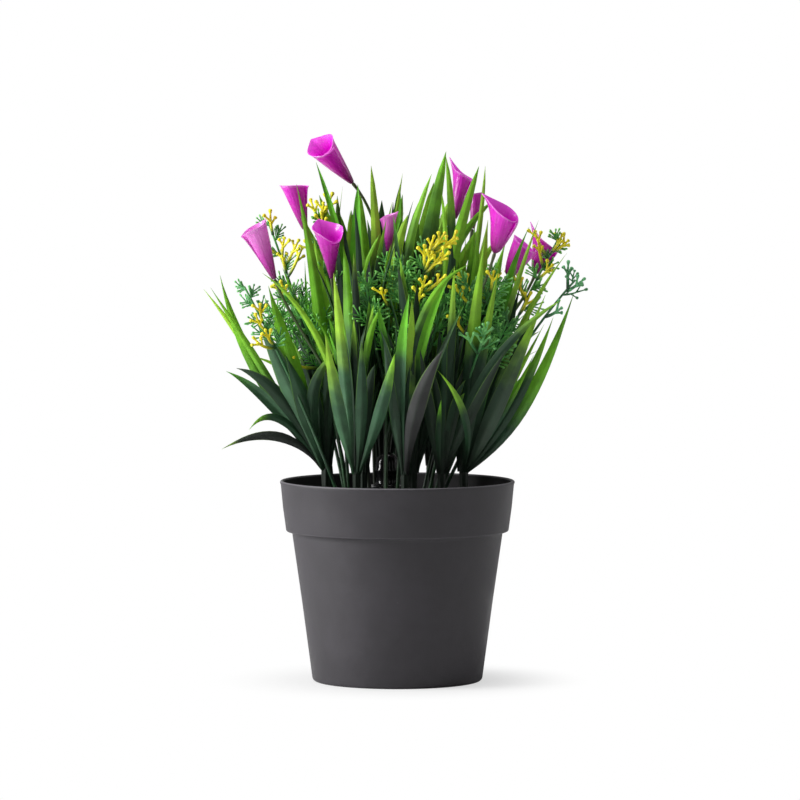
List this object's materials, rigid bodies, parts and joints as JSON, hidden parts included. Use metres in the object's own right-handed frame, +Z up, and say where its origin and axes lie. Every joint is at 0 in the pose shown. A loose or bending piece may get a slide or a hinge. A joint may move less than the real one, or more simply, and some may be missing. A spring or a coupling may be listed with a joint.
{
  "type": "artificial potted calla lily",
  "caption": "Artificial magenta calla lilies with green and lime grass and forked sprigs, standing in a tapered round anthracite plastic pot with a collar.",
  "frame": {"origin": "centre of the pot's flat underside, on the surface that the pot stands on", "axes": "+Z up along the pot's axis, -Y towards the front of the arrangement, +X to its right"},
  "size_m": [0.1459, 0.1124, 0.2108],
  "materials": {
    "pot_plastic": "satin moulded, anthracite",
    "filler": "rough cast, nearly black",
    "hub_plastic": "glossy moulded, black",
    "grass_plastic": "satin, dark green airbrushed to lime at the tips",
    "stem_plastic": "satin, olive green",
    "petal_plastic": "thin glossy sheet, magenta",
    "sprig_plastic": "satin, blue green with yellow tips"
  },
  "bodies": {
    "root": {"pot": "pot_plastic", "planting_filler": "filler", "stem_hub": "hub_plastic", "grass_tuft_left": "grass_plastic", "grass_tuft_front_left": "grass_plastic", "grass_tuft_front": "grass_plastic", "grass_tuft_front_right": "grass_plastic", "grass_tuft_right": "grass_plastic", "grass_tuft_centre_left": "grass_plastic", "grass_tuft_centre_right": "grass_plastic", "grass_tuft_back_right": "grass_plastic", "grass_tuft_right_rear": "grass_plastic", "grass_tuft_back": "grass_plastic", "grass_tuft_left_rear": "grass_plastic", "grass_tuft_centre_back": "grass_plastic", "flower_stem_1": "stem_plastic", "flower_stem_2": "stem_plastic", "flower_stem_3": "stem_plastic", "flower_stem_4": "stem_plastic", "flower_stem_5": "stem_plastic", "flower_stem_6": "stem_plastic", "flower_stem_7": "stem_plastic", "flower_stem_8": "stem_plastic", "flower_stem_9": "stem_plastic", "flower_stem_10": "stem_plastic", "flower_stem_11": "stem_plastic", "flower_stem_12": "stem_plastic", "flower_stem_13": "stem_plastic", "flower_stem_14": "stem_plastic", "flower_1": "petal_plastic", "flower_2": "petal_plastic", "flower_3": "petal_plastic", "flower_4": "petal_plastic", "flower_5": "petal_plastic", "flower_6": "petal_plastic", "flower_7": "petal_plastic", "flower_8": "petal_plastic", "flower_9": "petal_plastic", "flower_10": "petal_plastic", "flower_11": "petal_plastic", "flower_12": "petal_plastic", "flower_13": "petal_plastic", "flower_14": "petal_plastic", "sprig_left_top": "sprig_plastic", "sprig_left_high": "sprig_plastic", "sprig_left": "sprig_plastic", "sprig_left_front": "sprig_plastic", "sprig_centre": "sprig_plastic", "sprig_centre_right": "sprig_plastic", "sprig_right_front": "sprig_plastic", "sprig_front_low": "sprig_plastic", "sprig_right": "sprig_plastic", "sprig_right_high": "sprig_plastic", "sprig_back_right": "sprig_plastic", "sprig_back": "sprig_plastic", "sprig_back_left": "sprig_plastic"}
  },
  "joints": []
}
